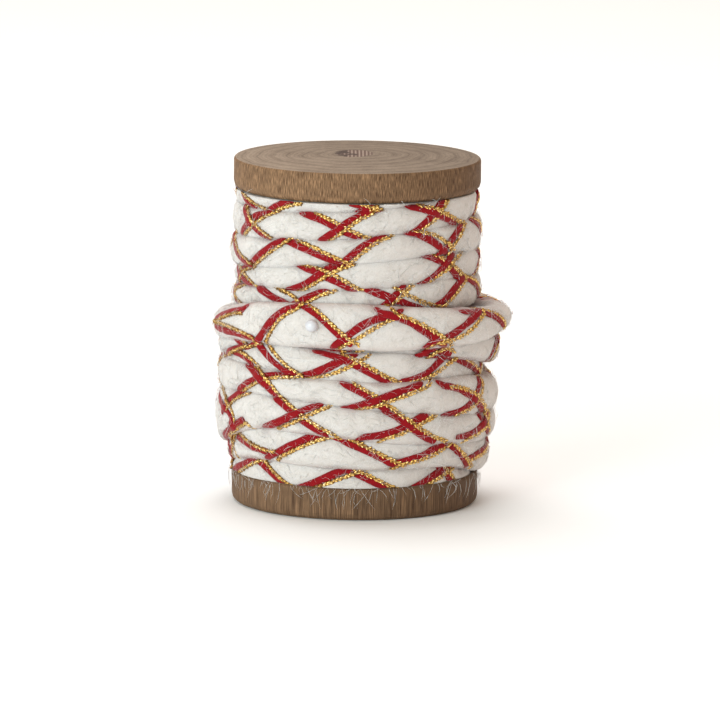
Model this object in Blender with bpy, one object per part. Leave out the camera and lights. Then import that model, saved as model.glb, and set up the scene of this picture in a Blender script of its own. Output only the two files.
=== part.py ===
"""Decorative cord on a wooden spool.

A thick felted wool cord is wound in eleven and a half turns between two round slices of
branch wood. A narrow ribbon is wrapped round the cord in both hands, so its two windings
cross and pinch the wool into soft lens-shaped puffs. A pearl-headed pin holds the last turn.

Units are metres, +Z is up and the front of the spool faces -Y. The origin is the middle of
the face that the spool stands on. Tables of the winding are in millimetres and degrees.
"""
import math
from collections import namedtuple

import bmesh
import bpy
import numpy as np

MM = 0.001

# Spool
SPOOL_HEIGHT = 0.090
FLANGE_RADIUS = 0.032
TOP_FLANGE_THICKNESS = 0.0080
BOTTOM_FLANGE_THICKNESS = 0.0085
WORN_EDGE = 0.0018
CRISP_EDGE = 0.0007
BARREL_RADIUS = 0.0105
GAP = 0.0003
RIM_STEPS = 64
BARREL_STEPS = 32
EDGE_STEPS = 3
WOOD_SHARP_ANGLE = math.radians(35)

# Winding
FIRST_TURN = 1
LAST_TURN = 12
COLUMNS_PER_TURN = 84
ROWS_PER_TURN = 6
CREASE_DEPTH = 0.0034
SECTION_FULLNESS = 0.75
RIBBON_RAISED = 0.0009
THIN_TURN = 0.005
HIDDEN_PASS_SPACING = 48
WOOL_SHARP_ANGLE = math.radians(28)
DRUM_STEPS = 24

# Pearl-headed pin, pushed through the last turn
PEARL_RADIUS = 0.0016
PIN_RADIUS = 0.00035
PIN_LENGTH = 0.011
PIN_AZIMUTH = -18.0
PIN_HEIGHT = 0.0512
PEARL_SEAT_RADIUS = 0.0368
PEARL_STEPS = 12

# A row for each turn, from the foot up. Seam columns give the height of the crease under
# the turn, reach columns how far its crest stands from the spool's axis, both in
# millimetres. Left is at -90 degrees round the axis, front at 0, right at 90, back at 180.
# The back of one turn runs on into the left of the turn above it.
Turn = namedtuple(
    "Turn",
    "seam_left seam_front_left seam_front seam_front_right seam_right seam_back "
    "reach_left reach_front reach_right reach_back",
)
SEAM_AZIMUTHS = (-90, -45, 0, 45, 90, 180)
REACH_AZIMUTHS = (-90, 0, 90, 180)
TURNS = (
    Turn(-7.0, -4.0, -3.0, -3.0, -6.0, -1.0, 31.0, 32.0, 31.0, 31.0),
    Turn(4.0, 7.6, 7.5, 7.6, 2.0, 6.5, 31.0, 32.5, 31.0, 32.5),
    Turn(11.0, 14.9, 14.4, 13.4, 7.4, 12.4, 32.9, 35.0, 34.8, 35.5),
    Turn(16.5, 23.4, 22.0, 19.5, 18.3, 24.0, 36.0, 36.2, 36.2, 36.0),
    Turn(29.5, 31.4, 29.8, 26.7, 24.7, 31.3, 35.6, 36.0, 36.3, 35.0),
    Turn(38.2, 38.0, 36.1, 35.4, 34.8, 37.2, 33.0, 35.0, 33.0, 34.5),
    Turn(39.8, 44.2, 43.2, 42.3, 36.4, 39.8, 35.4, 32.5, 37.2, 37.0),
    Turn(42.8, 45.6, 45.8, 45.4, 44.7, 47.8, 36.6, 36.2, 40.1, 36.5),
    Turn(50.9, 54.4, 55.4, 53.7, 53.6, 55.3, 32.1, 32.3, 32.1, 32.0),
    Turn(56.9, 58.5, 59.7, 61.4, 60.0, 61.3, 31.3, 32.4, 31.8, 32.0),
    Turn(62.5, 64.5, 66.7, 68.1, 67.0, 68.5, 32.1, 32.4, 32.3, 32.2),
    Turn(70.0, 71.4, 73.2, 74.8, 75.2, 77.0, 31.9, 32.4, 31.2, 31.6),
    Turn(78.4, 78.6, 79.8, 82.0, 84.0, 85.0, 31.6, 31.8, 31.6, 31.6),
    Turn(86.0, 86.0, 87.0, 89.0, 91.0, 92.0, 31.6, 31.6, 31.6, 31.6),
)

# Where the two windings of the ribbon pass the crest of each turn, in degrees round the
# axis, for the same rows. The rising one climbs from left to right over the cord's
# outside. Behind, the passes are evenly spaced.
Wrap = namedtuple("Wrap", "rising falling")
WRAPS = (
    Wrap((0,), (0,)),
    Wrap((-60, -13, 39.5), (-39.6, 8.7, 62)),
    Wrap((-69, -25, 31, 73), (-64, 3, 52)),
    Wrap((-62, -27, 20.3, 66.9), (-72, -23.2, 25.1, 68.4)),
    Wrap((-43.4, 11.7, 57.4), (-41.6, 6.8, 57.4)),
    Wrap((-10, 36), (-38, 0, 50)),
    Wrap((-57, 0, 41, 82), (-58, -7, 38, 80)),
    Wrap((-85, -36.1, 3.7, 47.4), (-66, -11.7, 27.8, 68)),
    Wrap((-90, -24.3, 15.8, 50.3), (-90, -36, 19.5, 80)),
    Wrap((-68.3, -16.9, 42.6), (-65.7, -9, 47)),
    Wrap((-84, -45.9, 0, 49.2), (-84, -19, 39.3, 80)),
    Wrap((-58.4, -6.3, 36.1), (-57.2, -8.4, 42.6)),
    Wrap((-33, 14, 62), (-62, -5, 45)),
    Wrap((0,), (0,)),
)

WOOD_TOP = ("wood_top", (0.150, 0.105, 0.066, 1.0), 0.75, 0.0)
WOOD_FOOT = ("wood_foot", (0.140, 0.096, 0.060, 1.0), 0.75, 0.0)
WOOD_BARREL = ("wood_barrel", (0.300, 0.220, 0.140, 1.0), 0.80, 0.0)
WOOL = ("wool", (0.620, 0.580, 0.530, 1.0), 0.95, 0.0)
PEARL = ("pearl", (0.850, 0.840, 0.820, 1.0), 0.20, 0.0)


def clear_scene():
    """Remove everything that the scene already holds."""
    for thing in list(bpy.data.objects):
        bpy.data.objects.remove(thing, do_unlink=True)


def material(name, colour, roughness, metallic):
    """A plain Principled finish."""
    finish = bpy.data.materials.new(name)
    finish.use_nodes = True
    shader = finish.node_tree.nodes["Principled BSDF"]
    shader.inputs["Base Color"].default_value = colour
    shader.inputs["Roughness"].default_value = roughness
    shader.inputs["Metallic"].default_value = metallic
    return finish


def add_object(name, mesh, finish=None):
    """Put a mesh in the scene as a named piece of the given finish."""
    piece = bpy.data.objects.new(name, mesh)
    bpy.context.scene.collection.objects.link(piece)
    if finish:
        mesh.materials.append(material(*finish))
    return piece


def turned_mesh(name, profile, steps):
    """Turn a closed profile of (radius, height) points, listed up its outer side, about Z.

    A flat face closes each end.
    """
    shape = bmesh.new()
    rings = []
    for radius, height in profile:
        ring = []
        for step in range(steps):
            angle = 2 * math.pi * step / steps
            place = (radius * math.cos(angle), radius * math.sin(angle), height)
            ring.append(shape.verts.new(place))
        rings.append(ring)
    for below, above in zip(rings, rings[1:]):
        for step in range(steps):
            after = (step + 1) % steps
            shape.faces.new((below[step], below[after], above[after], above[step]))
    shape.faces.new(reversed(rings[0]))
    shape.faces.new(rings[-1])
    mesh = bpy.data.meshes.new(name)
    shape.to_mesh(mesh)
    shape.free()
    return mesh


def rounded_corner(radius, height, rounding, start):
    """Points of a quarter arc that ends at the disc's outer corner, from angle start."""
    centre = (radius - rounding, height)
    points = []
    for step in range(EDGE_STEPS + 1):
        angle = math.radians(start + 90 * step / EDGE_STEPS)
        across = centre[0] + rounding * math.cos(angle)
        points.append((across, centre[1] + rounding * math.sin(angle)))
    return points


def wooden_disc(name, bottom, thickness, lower_edge, upper_edge, finish):
    """A round slice of wood with its two rims rounded by their own amounts."""
    top = bottom + thickness
    profile = rounded_corner(FLANGE_RADIUS, bottom + lower_edge, lower_edge, -90)
    profile += rounded_corner(FLANGE_RADIUS, top - upper_edge, upper_edge, 0)
    disc = add_object(name, turned_mesh(name, profile, RIM_STEPS), finish)
    disc.data.shade_smooth()
    disc.data.set_sharp_from_angle(angle=WOOD_SHARP_ANGLE)
    return disc


def curve_through(knots, values, at):
    """A smooth curve through knots that are unevenly spaced, read at many places."""
    knots = np.asarray(knots, dtype=float)
    values = np.asarray(values, dtype=float)
    slopes = np.gradient(values, knots)
    span = np.clip(np.searchsorted(knots, at, side="right") - 1, 0, len(knots) - 2)
    width = knots[span + 1] - knots[span]
    part = (at - knots[span]) / width
    from_start = (1 + 2 * part) * (1 - part) ** 2
    start_slope = part * (1 - part) ** 2
    to_end = part ** 2 * (3 - 2 * part)
    end_slope = part ** 2 * (part - 1)
    level = from_start * values[span] + to_end * values[span + 1]
    return level + width * (start_slope * slopes[span] + end_slope * slopes[span + 1])


def turn_knots(azimuths):
    """Places of the table's columns, counted in turns from the foot up."""
    return [row + azimuth / 360 for row in range(len(TURNS)) for azimuth in azimuths]


def seam_height(turns):
    """Height of the crease under the cord, at places counted in turns."""
    heights = [value for turn in TURNS for value in turn[:len(SEAM_AZIMUTHS)]]
    return curve_through(turn_knots(SEAM_AZIMUTHS), heights, turns) * MM


def crest_reach(turns):
    """Distance of the cord's crest from the axis, at places counted in turns."""
    reaches = [value for turn in TURNS for value in turn[len(SEAM_AZIMUTHS):]]
    return curve_through(turn_knots(REACH_AZIMUTHS), reaches, turns) * MM


def crease_reach(turns):
    """Distance of the crease under the cord from the axis."""
    return np.minimum(crest_reach(turns), crest_reach(turns - 1)) - CREASE_DEPTH


def ribbon_passes(hand):
    """Places, counted in turns, where one winding of the ribbon passes the crest."""
    passes = []
    for row, wrap in enumerate(WRAPS):
        shown = [row + azimuth / 360 for azimuth in getattr(wrap, hand)]
        if passes:
            behind = shown[0] - passes[-1]
            hidden = round(behind * 360 / HIDDEN_PASS_SPACING) - 1
            passes += list(np.linspace(passes[-1], shown[0], hidden + 2)[1:-1])
        passes += shown
    return passes


def ribbed_points(start, columns, hand, sense):
    """Marks on the winding's grid of points, 1 where the ribbon lies and 0 on bare wool.

    Each pass of the ribbon climbs or drops one row for each column that it goes along.
    """
    ribs = np.zeros((ROWS_PER_TURN + 1, columns + 1), dtype=int)
    for place in ribbon_passes(hand):
        crest = round((place - start) * COLUMNS_PER_TURN)
        for row in range(ROWS_PER_TURN + 1):
            column = crest + sense * (row - ROWS_PER_TURN // 2)
            if 0 <= column <= columns:
                ribs[row, column] = 1
    return ribs


def section_row(turns, angle, ribs):
    """One row of points along the cord, at an angle round its section.

    The ribbon is raised less where the turn is thin and where it sinks into a crease.
    """
    lower, upper = seam_height(turns), seam_height(turns + 1)
    crease = crease_reach(turns) if angle < 0 else crease_reach(turns + 1)
    bulge = (crest_reach(turns) - crease) * math.cos(angle) ** SECTION_FULLNESS
    height = (lower + upper) / 2 + (upper - lower) / 2 * math.sin(angle)
    raised = ribs * RIBBON_RAISED * math.sqrt(math.cos(angle))
    raised *= np.clip((upper - lower) / THIN_TURN, 0, 1)
    return points_round_axis(turns, crease + bulge + raised, height)


def points_round_axis(turns, reach, height):
    """World places from a reach, a height and a place counted in turns."""
    azimuth = 2 * math.pi * turns
    return np.stack((reach * np.sin(azimuth), -reach * np.cos(azimuth), height), axis=-1)


def winding_mesh(name):
    """The wound cord as one long strip, each turn sharing its crease with the next.

    The strip starts and ends inside the flanges, where it is closed to a point on the
    axis; the space between the flanges then trims it.
    """
    columns = COLUMNS_PER_TURN * (LAST_TURN - FIRST_TURN + 1)
    start = FIRST_TURN - 0.5
    turns = start + np.arange(columns + 1) / COLUMNS_PER_TURN
    crease_turns = start + np.arange(columns + COLUMNS_PER_TURN + 1) / COLUMNS_PER_TURN
    shape = bmesh.new()
    creases = points_round_axis(
        crease_turns, crease_reach(crease_turns), seam_height(crease_turns)
    )
    rising = ribbed_points(start, columns, "rising", 1)
    falling = ribbed_points(start, columns, "falling", -1)
    grid = [[shape.verts.new(place) for place in creases]]
    for row in range(1, ROWS_PER_TURN):
        angle = math.pi * (row / ROWS_PER_TURN - 0.5)
        places = section_row(turns, angle, rising[row] | falling[row])
        grid.append([shape.verts.new(place) for place in places])
    grid.append(grid[0][COLUMNS_PER_TURN:])

    for row in range(ROWS_PER_TURN):
        for column in range(columns):
            corners = (
                grid[row][column],
                grid[row][column + 1],
                grid[row + 1][column + 1],
                grid[row + 1][column],
            )
            climbs = rising[row, column] and rising[row + 1, column + 1]
            drops = falling[row:row + 2, column:column + 2].any()
            add_split_quad(shape, corners, climbs or not drops)

    first_edge = [grid[row][0] for row in range(ROWS_PER_TURN + 1)]
    last_edge = [grid[row][columns] for row in range(ROWS_PER_TURN + 1)]
    foot_loop = grid[0][:COLUMNS_PER_TURN] + list(reversed(first_edge))[:-1]
    top_loop = grid[0][columns + 1:] + list(reversed(last_edge))[1:]
    foot_tip = shape.verts.new((0, 0, -SPOOL_HEIGHT / 4))
    top_tip = shape.verts.new((0, 0, SPOOL_HEIGHT * 5 / 4))
    close_to_tip(shape, foot_loop, foot_tip)
    close_to_tip(shape, list(reversed(top_loop)), top_tip)
    bmesh.ops.recalc_face_normals(shape, faces=shape.faces)
    mesh = bpy.data.meshes.new(name)
    shape.to_mesh(mesh)
    shape.free()
    return mesh


def add_split_quad(shape, corners, climbing):
    """Two triangles for four corners, their shared edge laid along the ribbon."""
    low_left, low_right, high_right, high_left = corners
    if climbing:
        shape.faces.new((low_left, low_right, high_right))
        shape.faces.new((low_left, high_right, high_left))
    else:
        shape.faces.new((low_left, low_right, high_left))
        shape.faces.new((low_right, high_right, high_left))


def close_to_tip(shape, loop, tip):
    """Close a loop of points with a fan of triangles to a tip."""
    for here, there in zip(loop, loop[1:] + loop[:1]):
        shape.faces.new((there, here, tip))


def cutter(name, mesh):
    """A guide solid that is used by a Boolean and isn't part of the object."""
    guide = add_object(name, mesh)
    guide.hide_render = True
    guide.display_type = "WIRE"
    return guide


def winding_space():
    """The ring between the flanges and round the barrel that the cord is wound in."""
    inner = BARREL_RADIUS + GAP
    outer = 2 * FLANGE_RADIUS
    low = BOTTOM_FLANGE_THICKNESS + GAP
    high = SPOOL_HEIGHT - TOP_FLANGE_THICKNESS - GAP
    overrun = SPOOL_HEIGHT / 2
    drum_profile = [(outer, low), (outer, high)]
    drum = cutter("winding_drum", turned_mesh("winding_drum", drum_profile, DRUM_STEPS))
    core_profile = [(inner, low - overrun), (inner, high + overrun)]
    core = cutter("winding_core", turned_mesh("winding_core", core_profile, BARREL_STEPS))
    return drum, core


def pin_mesh(name, clearance):
    """Pearl and shank as one turned solid along Z, the shank pointing down from the pearl.

    A clearance above zero makes the same shape fatter, as the seat for the pin.
    """
    pearl = PEARL_RADIUS + clearance
    shank = PIN_RADIUS + clearance
    join = math.asin(shank / pearl)
    profile = [(shank, -PEARL_RADIUS - PIN_LENGTH - clearance)]
    rings = PEARL_STEPS // 2
    for ring in range(rings + 1):
        angle = -math.pi / 2 + join + (math.pi - 2 * join) * ring / rings
        profile.append((pearl * math.cos(angle), pearl * math.sin(angle)))
    return turned_mesh(name, profile, PEARL_STEPS)


def place_pin(piece):
    """Set the pearl against the last turn with its shank towards the axis."""
    azimuth = math.radians(PIN_AZIMUTH)
    piece.location = (
        PEARL_SEAT_RADIUS * math.sin(azimuth),
        -PEARL_SEAT_RADIUS * math.cos(azimuth),
        PIN_HEIGHT,
    )
    piece.rotation_euler = (math.pi / 2, 0, azimuth)


def cut(piece, guide, operation):
    """Shape a piece with a guide solid."""
    trim = piece.modifiers.new(guide.name, "BOOLEAN")
    trim.operation = operation
    trim.solver = "EXACT"
    trim.object = guide


def build_spool():
    """Two wooden discs and the barrel that joins them."""
    wooden_disc("bottom_flange", 0, BOTTOM_FLANGE_THICKNESS, WORN_EDGE, CRISP_EDGE, WOOD_FOOT)
    underside = SPOOL_HEIGHT - TOP_FLANGE_THICKNESS
    wooden_disc("top_flange", underside, TOP_FLANGE_THICKNESS, WORN_EDGE, CRISP_EDGE, WOOD_TOP)
    low, high = BOTTOM_FLANGE_THICKNESS + GAP, underside - GAP
    profile = [(BARREL_RADIUS, low), (BARREL_RADIUS, high)]
    barrel = add_object("barrel", turned_mesh("barrel", profile, BARREL_STEPS), WOOD_BARREL)
    barrel.data.shade_smooth()
    barrel.data.set_sharp_from_angle(angle=WOOD_SHARP_ANGLE)


def build_winding():
    """The wound cord, trimmed to the spool, and the pin that holds it."""
    cord = add_object("wound_cord", winding_mesh("wound_cord"), WOOL)
    drum, core = winding_space()
    seat = cutter("pin_seat", pin_mesh("pin_seat", GAP))
    place_pin(seat)
    cut(cord, drum, "INTERSECT")
    cut(cord, core, "DIFFERENCE")
    cut(cord, seat, "DIFFERENCE")
    cord.data.shade_smooth()
    cord.data.set_sharp_from_angle(angle=WOOL_SHARP_ANGLE)
    pin = add_object("pin", pin_mesh("pin", 0), PEARL)
    pin.data.shade_smooth()
    place_pin(pin)


clear_scene()
build_spool()
build_winding()
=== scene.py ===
import math
from collections import namedtuple

import bpy
import numpy as np
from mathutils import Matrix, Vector
from mathutils.kdtree import KDTree


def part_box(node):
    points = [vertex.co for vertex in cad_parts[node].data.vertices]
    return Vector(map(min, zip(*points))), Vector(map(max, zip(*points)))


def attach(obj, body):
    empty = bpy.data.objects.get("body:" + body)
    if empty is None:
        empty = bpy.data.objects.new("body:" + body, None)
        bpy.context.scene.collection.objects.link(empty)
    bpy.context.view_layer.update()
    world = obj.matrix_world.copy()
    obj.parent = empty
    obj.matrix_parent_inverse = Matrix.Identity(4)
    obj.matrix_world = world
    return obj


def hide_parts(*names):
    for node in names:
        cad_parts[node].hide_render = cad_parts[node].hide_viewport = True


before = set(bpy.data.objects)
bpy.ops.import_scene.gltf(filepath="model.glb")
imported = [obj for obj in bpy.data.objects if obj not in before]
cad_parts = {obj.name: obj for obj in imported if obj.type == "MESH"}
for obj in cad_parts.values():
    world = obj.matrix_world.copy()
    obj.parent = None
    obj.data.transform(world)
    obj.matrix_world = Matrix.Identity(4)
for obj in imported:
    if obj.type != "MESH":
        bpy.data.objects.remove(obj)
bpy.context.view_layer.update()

# ---------------------------------------------------------------------------------------
# Camera. A long lens a little above the spool, so its upper face shows as a thin ellipse.
# It looks straight from the front, with a slight roll, and a shift places the spool.
CAMERA_PLACE = Vector((0, -1.79963, 0.33804))
CAMERA_AIM = Vector((0, 0, 0.0445))
CAMERA_ROLL = 0.0096
LENS_MM = 350.83
SENSOR_MM = 36
SHIFT = (0.0056, -0.0416)


def put_in_scene(name, data):
    """A new object of the scene, from its data."""
    placed = bpy.data.objects.new(name, data)
    bpy.context.scene.collection.objects.link(placed)
    return placed


lens = bpy.data.cameras.new("camera")
lens.lens = LENS_MM
lens.sensor_width = SENSOR_MM
lens.shift_x, lens.shift_y = SHIFT
lens.clip_end = 100
lens.dof.use_dof = False
camera = put_in_scene("camera", lens)
camera.location = CAMERA_PLACE
camera.rotation_euler = (CAMERA_AIM - CAMERA_PLACE).to_track_quat("-Z", "Y").to_euler()
camera.rotation_euler.rotate_axis("Z", CAMERA_ROLL)
bpy.context.scene.camera = camera
bpy.context.scene.view_settings.view_transform = "Standard"

# ---------------------------------------------------------------------------------------
# Wooden ends. Two round slices sawn across a branch and turned true, left unvarnished.
# The sawn faces show growth rings, the rims show short upright fibres.
MM = 0.001
END_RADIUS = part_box("top_flange")[1].x
RING_WIDTH = 0.0040
RING_WAVINESS = 0.0040
FINE_RINGS = 3.7
# Painted light and shade: the ends are drawn darker towards this side and lighter away from it.
PAINTED_SHADE_SIDE = (0.85, 0.53, 0)
FACE_DARK = (0.160, 0.113, 0.078)
FACE_MIDDLE = (0.275, 0.208, 0.152)
FACE_LIGHT = (0.365, 0.285, 0.215)
PITH_HALF = (0.0052, 0.0072, 1)


class Finish:
    """A material's node tree, with short ways to place, read and join its nodes."""

    def __init__(self, name, roughness, **fixed):
        self.material = bpy.data.materials.new(name)
        self.material.use_nodes = True
        self.tree = self.material.node_tree
        self.shader = self.tree.nodes["Principled BSDF"]
        self.shader.inputs["Roughness"].default_value = roughness
        for socket, value in fixed.items():
            self.shader.inputs[socket.replace("_", " ")].default_value = value

    def node(self, kind, inputs=None, **settings):
        return add_node(self.tree, kind, inputs, **settings)

    def colour(self, output):
        self.tree.links.new(output, self.shader.inputs["Base Color"])

    def read(self, name, output):
        return self.node("ShaderNodeAttribute", attribute_name=name).outputs[output]

    def bump(self, height, distance, strength):
        bump = self.node("ShaderNodeBump", {"Height": height, "Distance": distance,
                                            "Strength": strength})
        self.tree.links.new(bump.outputs["Normal"], self.shader.inputs["Normal"])


def add_node(tree, kind, inputs=None, **settings):
    """A node with its settings, its sockets set to values or joined to other outputs."""
    node = tree.nodes.new(kind)
    for key, value in settings.items():
        setattr(node, key, value)
    for socket, value in (inputs or {}).items():
        if isinstance(value, bpy.types.NodeSocket):
            tree.links.new(value, node.inputs[socket])
        else:
            node.inputs[socket].default_value = value
    return node


def calculate(tree, operation, first, second=0.0, third=0.0):
    """One sum, on values or on other nodes' outputs."""
    node = add_node(tree, "ShaderNodeMath", {0: first, 1: second, 2: third}, operation=operation)
    return node.outputs[0]


def full_colour(value):
    """A colour with its alpha. A number is a grey, and another node's output stays."""
    if isinstance(value, (int, float)):
        return value, value, value, 1
    return (*value, 1) if isinstance(value, tuple) else value


def ramp(tree, factor, stops):
    """Colours along a scale, from (place, colour) stops."""
    node = add_node(tree, "ShaderNodeValToRGB", {"Fac": factor})
    marks = node.color_ramp.elements
    while len(marks) < len(stops):
        marks.new(0.5)
    for mark, (place, colour) in zip(marks, stops):
        mark.position = place
        mark.color = full_colour(colour)
    return node.outputs["Color"]


def mix(tree, factor, first, second, blend="MIX"):
    """Two colours mixed, by a value or another node's output."""
    inputs = {0: factor, 6: full_colour(first), 7: full_colour(second)}
    return add_node(tree, "ShaderNodeMix", inputs, data_type="RGBA", blend_type=blend).outputs[2]


def effect_group(name, inputs, outputs):
    """An empty shader node group with named sockets, and its own input and output nodes."""
    tree = bpy.data.node_groups.new(name, "ShaderNodeTree")
    for label, kind, value in inputs:
        socket = tree.interface.new_socket(label, in_out="INPUT", socket_type=kind)
        socket.default_value = value
    for label, kind in outputs:
        tree.interface.new_socket(label, in_out="OUTPUT", socket_type=kind)
    return tree, tree.nodes.new("NodeGroupInput"), tree.nodes.new("NodeGroupOutput")


def noise(tree, place, scale, detail, roughness=0.5, distortion=0.0):
    """Smooth noise over a place, from 0 to 1."""
    node = add_node(tree, "ShaderNodeTexNoise", {"Vector": place, "Scale": scale,
                    "Detail": detail, "Roughness": roughness, "Distortion": distortion})
    return node.outputs["Fac"]


def stretched(tree, place, scale):
    """A place stretched along its axes, to draw a pattern out into streaks."""
    node = add_node(tree, "ShaderNodeMapping", {"Vector": place, "Scale": scale})
    return node.outputs["Vector"]


def length_of(tree, vector):
    """The length of a vector from another node."""
    return add_node(tree, "ShaderNodeVectorMath", {0: vector}, operation="LENGTH").outputs[1]


def growth_rings_group():
    """Rings of a sawn branch: round its pith in the middle, round the rim further out."""
    tree, given, result = effect_group(
        "growth_rings",
        (("Place", "NodeSocketVector", (0, 0, 0)),
         ("Pith", "NodeSocketVector", (0, 0, 0)),
         ("Ring Width", "NodeSocketFloat", RING_WIDTH),
         ("Waviness", "NodeSocketFloat", RING_WAVINESS)),
        (("Broad", "NodeSocketFloat"), ("Fine", "NodeSocketFloat")),
    )
    flat = stretched(tree, given.outputs["Place"], (1, 1, 0))
    out = calculate(tree, "DIVIDE", length_of(tree, flat), END_RADIUS)
    pull = calculate(tree, "SUBTRACT", 1.0, out)
    shift = add_node(tree, "ShaderNodeVectorMath", {0: given.outputs["Pith"]}, operation="SCALE")
    tree.links.new(pull, shift.inputs["Scale"])
    from_pith = add_node(tree, "ShaderNodeVectorMath", {0: flat, 1: shift.outputs[0]},
                         operation="SUBTRACT").outputs[0]
    wave = calculate(tree, "SUBTRACT", noise(tree, flat, 60, 3), 0.5)
    distance = calculate(tree, "MULTIPLY_ADD", wave, given.outputs["Waviness"],
                         length_of(tree, from_pith))
    phase = calculate(tree, "DIVIDE", distance, given.outputs["Ring Width"])
    uneven = noise(tree, stretched(tree, from_pith, (1, 1, 0)), 90, 2)
    broad = calculate(tree, "FRACT", calculate(tree, "MULTIPLY_ADD", uneven, 0.9, phase))
    fine_phase = calculate(tree, "MULTIPLY", phase, FINE_RINGS)
    fine = calculate(tree, "FRACT", calculate(tree, "MULTIPLY_ADD", uneven, 2.5, fine_phase))
    tree.links.new(broad, result.inputs["Broad"])
    tree.links.new(fine, result.inputs["Fine"])
    return tree


def rim_fibres_group():
    """Short upright fibres round a turned rim, and the broad mottling under them."""
    tree, given, result = effect_group(
        "rim_fibres",
        (("Place", "NodeSocketVector", (0, 0, 0)),
         ("Fineness", "NodeSocketFloat", 1.0),
         ("Length", "NodeSocketFloat", 1.0)),
        (("Fibres", "NodeSocketFloat"), ("Mottling", "NodeSocketFloat")),
    )
    split = add_node(tree, "ShaderNodeSeparateXYZ", {0: given.outputs["Place"]})
    across = calculate(tree, "ARCTAN2", split.outputs["X"], split.outputs["Y"])
    along_rim = calculate(tree, "MULTIPLY", across, END_RADIUS / MM)
    fine_across = calculate(tree, "MULTIPLY", along_rim, given.outputs["Fineness"])
    upright = calculate(tree, "MULTIPLY", split.outputs["Z"], 1 / MM)
    shortened = calculate(tree, "DIVIDE", upright, given.outputs["Length"])
    fibre_place = add_node(tree, "ShaderNodeCombineXYZ", {"X": fine_across, "Y": shortened})
    fibres = noise(tree, fibre_place.outputs[0], 1.0, 3, 0.6)
    broad_place = add_node(tree, "ShaderNodeCombineXYZ", {"X": along_rim, "Y": upright})
    mottling = noise(tree, broad_place.outputs[0], 0.28, 3, 0.55)
    tree.links.new(fibres, result.inputs["Fibres"])
    tree.links.new(mottling, result.inputs["Mottling"])
    return tree


GROWTH_RINGS = growth_rings_group()
RIM_FIBRES = rim_fibres_group()


def wood_finish(name, pith, fineness, fibre_length, rim_dark, rim_light):
    """Sawn wood: rings on the level faces, fibres on the rim, painted light and shade on both.
    """
    finish = Finish(name, 0.65, Specular_IOR_Level=0.2)
    tree = finish.tree
    place = finish.node("ShaderNodeTexCoord").outputs["Object"]
    rings = finish.node("ShaderNodeGroup", {
        "Place": place, "Pith": pith, "Ring Width": RING_WIDTH, "Waviness": RING_WAVINESS,
    }, node_tree=GROWTH_RINGS)
    fibres = finish.node("ShaderNodeGroup", {
        "Place": place, "Fineness": fineness, "Length": fibre_length,
    }, node_tree=RIM_FIBRES)

    # The sawn face: broad and fine rings, blotches, pores and the pith.
    blotches = noise(tree, place, 90, 4, 0.65)
    pores = noise(tree, stretched(tree, place, (1500, 1500, 60)), 1.0, 3, 0.7)
    broad = ramp(tree, rings.outputs["Broad"],
                 ((0.0, FACE_MIDDLE), (0.55, FACE_LIGHT), (0.80, FACE_MIDDLE), (0.90, FACE_DARK),
                  (1.0, FACE_MIDDLE)))
    fine = ramp(tree, rings.outputs["Fine"],
                ((0.0, 0.92), (0.6, (1.12, 1.12, 1.11)), (0.85, (0.70, 0.68, 0.66)),
                 (1.0, 0.92)))
    face = mix(tree, 1.0, broad, fine, "MULTIPLY")
    face = mix(tree, 0.45, face, ramp(tree, blotches, ((0.32, FACE_DARK), (0.68, FACE_LIGHT))))
    speckle = ramp(tree, pores, ((0.34, (0.80, 0.79, 0.78)), (0.60, 1.04)))
    face = mix(tree, 1.0, face, speckle, "MULTIPLY")
    face = add_pith(finish, place, pith, face)

    # The rim: upright fibres over broad mottling.
    rim = ramp(tree, fibres.outputs["Fibres"], ((0.36, rim_dark), (0.50, rim_light),
               (0.66, tuple(1.9 * part for part in rim_light))))
    tone = ramp(tree, fibres.outputs["Mottling"], ((0.30, (0.80, 0.78, 0.77)),
                                                   (0.70, (1.12, 1.11, 1.10))))
    rim = mix(tree, 1.0, rim, tone, "MULTIPLY")

    # Painted light and shade: face and rim alike lighter to the left front, darker to the right
    # back.
    side = finish.node("ShaderNodeVectorMath", {0: place, 1: PAINTED_SHADE_SIDE},
                       operation="DOT_PRODUCT").outputs["Value"]
    side = ramp(tree, calculate(tree, "MULTIPLY_ADD", side, 14.0, 0.5),
                ((0.05, 1.10), (0.5, 0.86), (0.95, (0.73, 0.72, 0.71))))
    facing = finish.node("ShaderNodeNewGeometry").outputs["True Normal"]
    level = calculate(tree, "ABSOLUTE",
                      finish.node("ShaderNodeSeparateXYZ", {0: facing}).outputs["Z"])
    on_face = calculate(tree, "GREATER_THAN", level, 0.8)
    finish.colour(mix(tree, 1.0, mix(tree, on_face, rim, face), side, "MULTIPLY"))
    finish.bump(mix(tree, on_face, fibres.outputs["Fibres"], pores), 0.0004, 0.6)
    return finish.material


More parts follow.
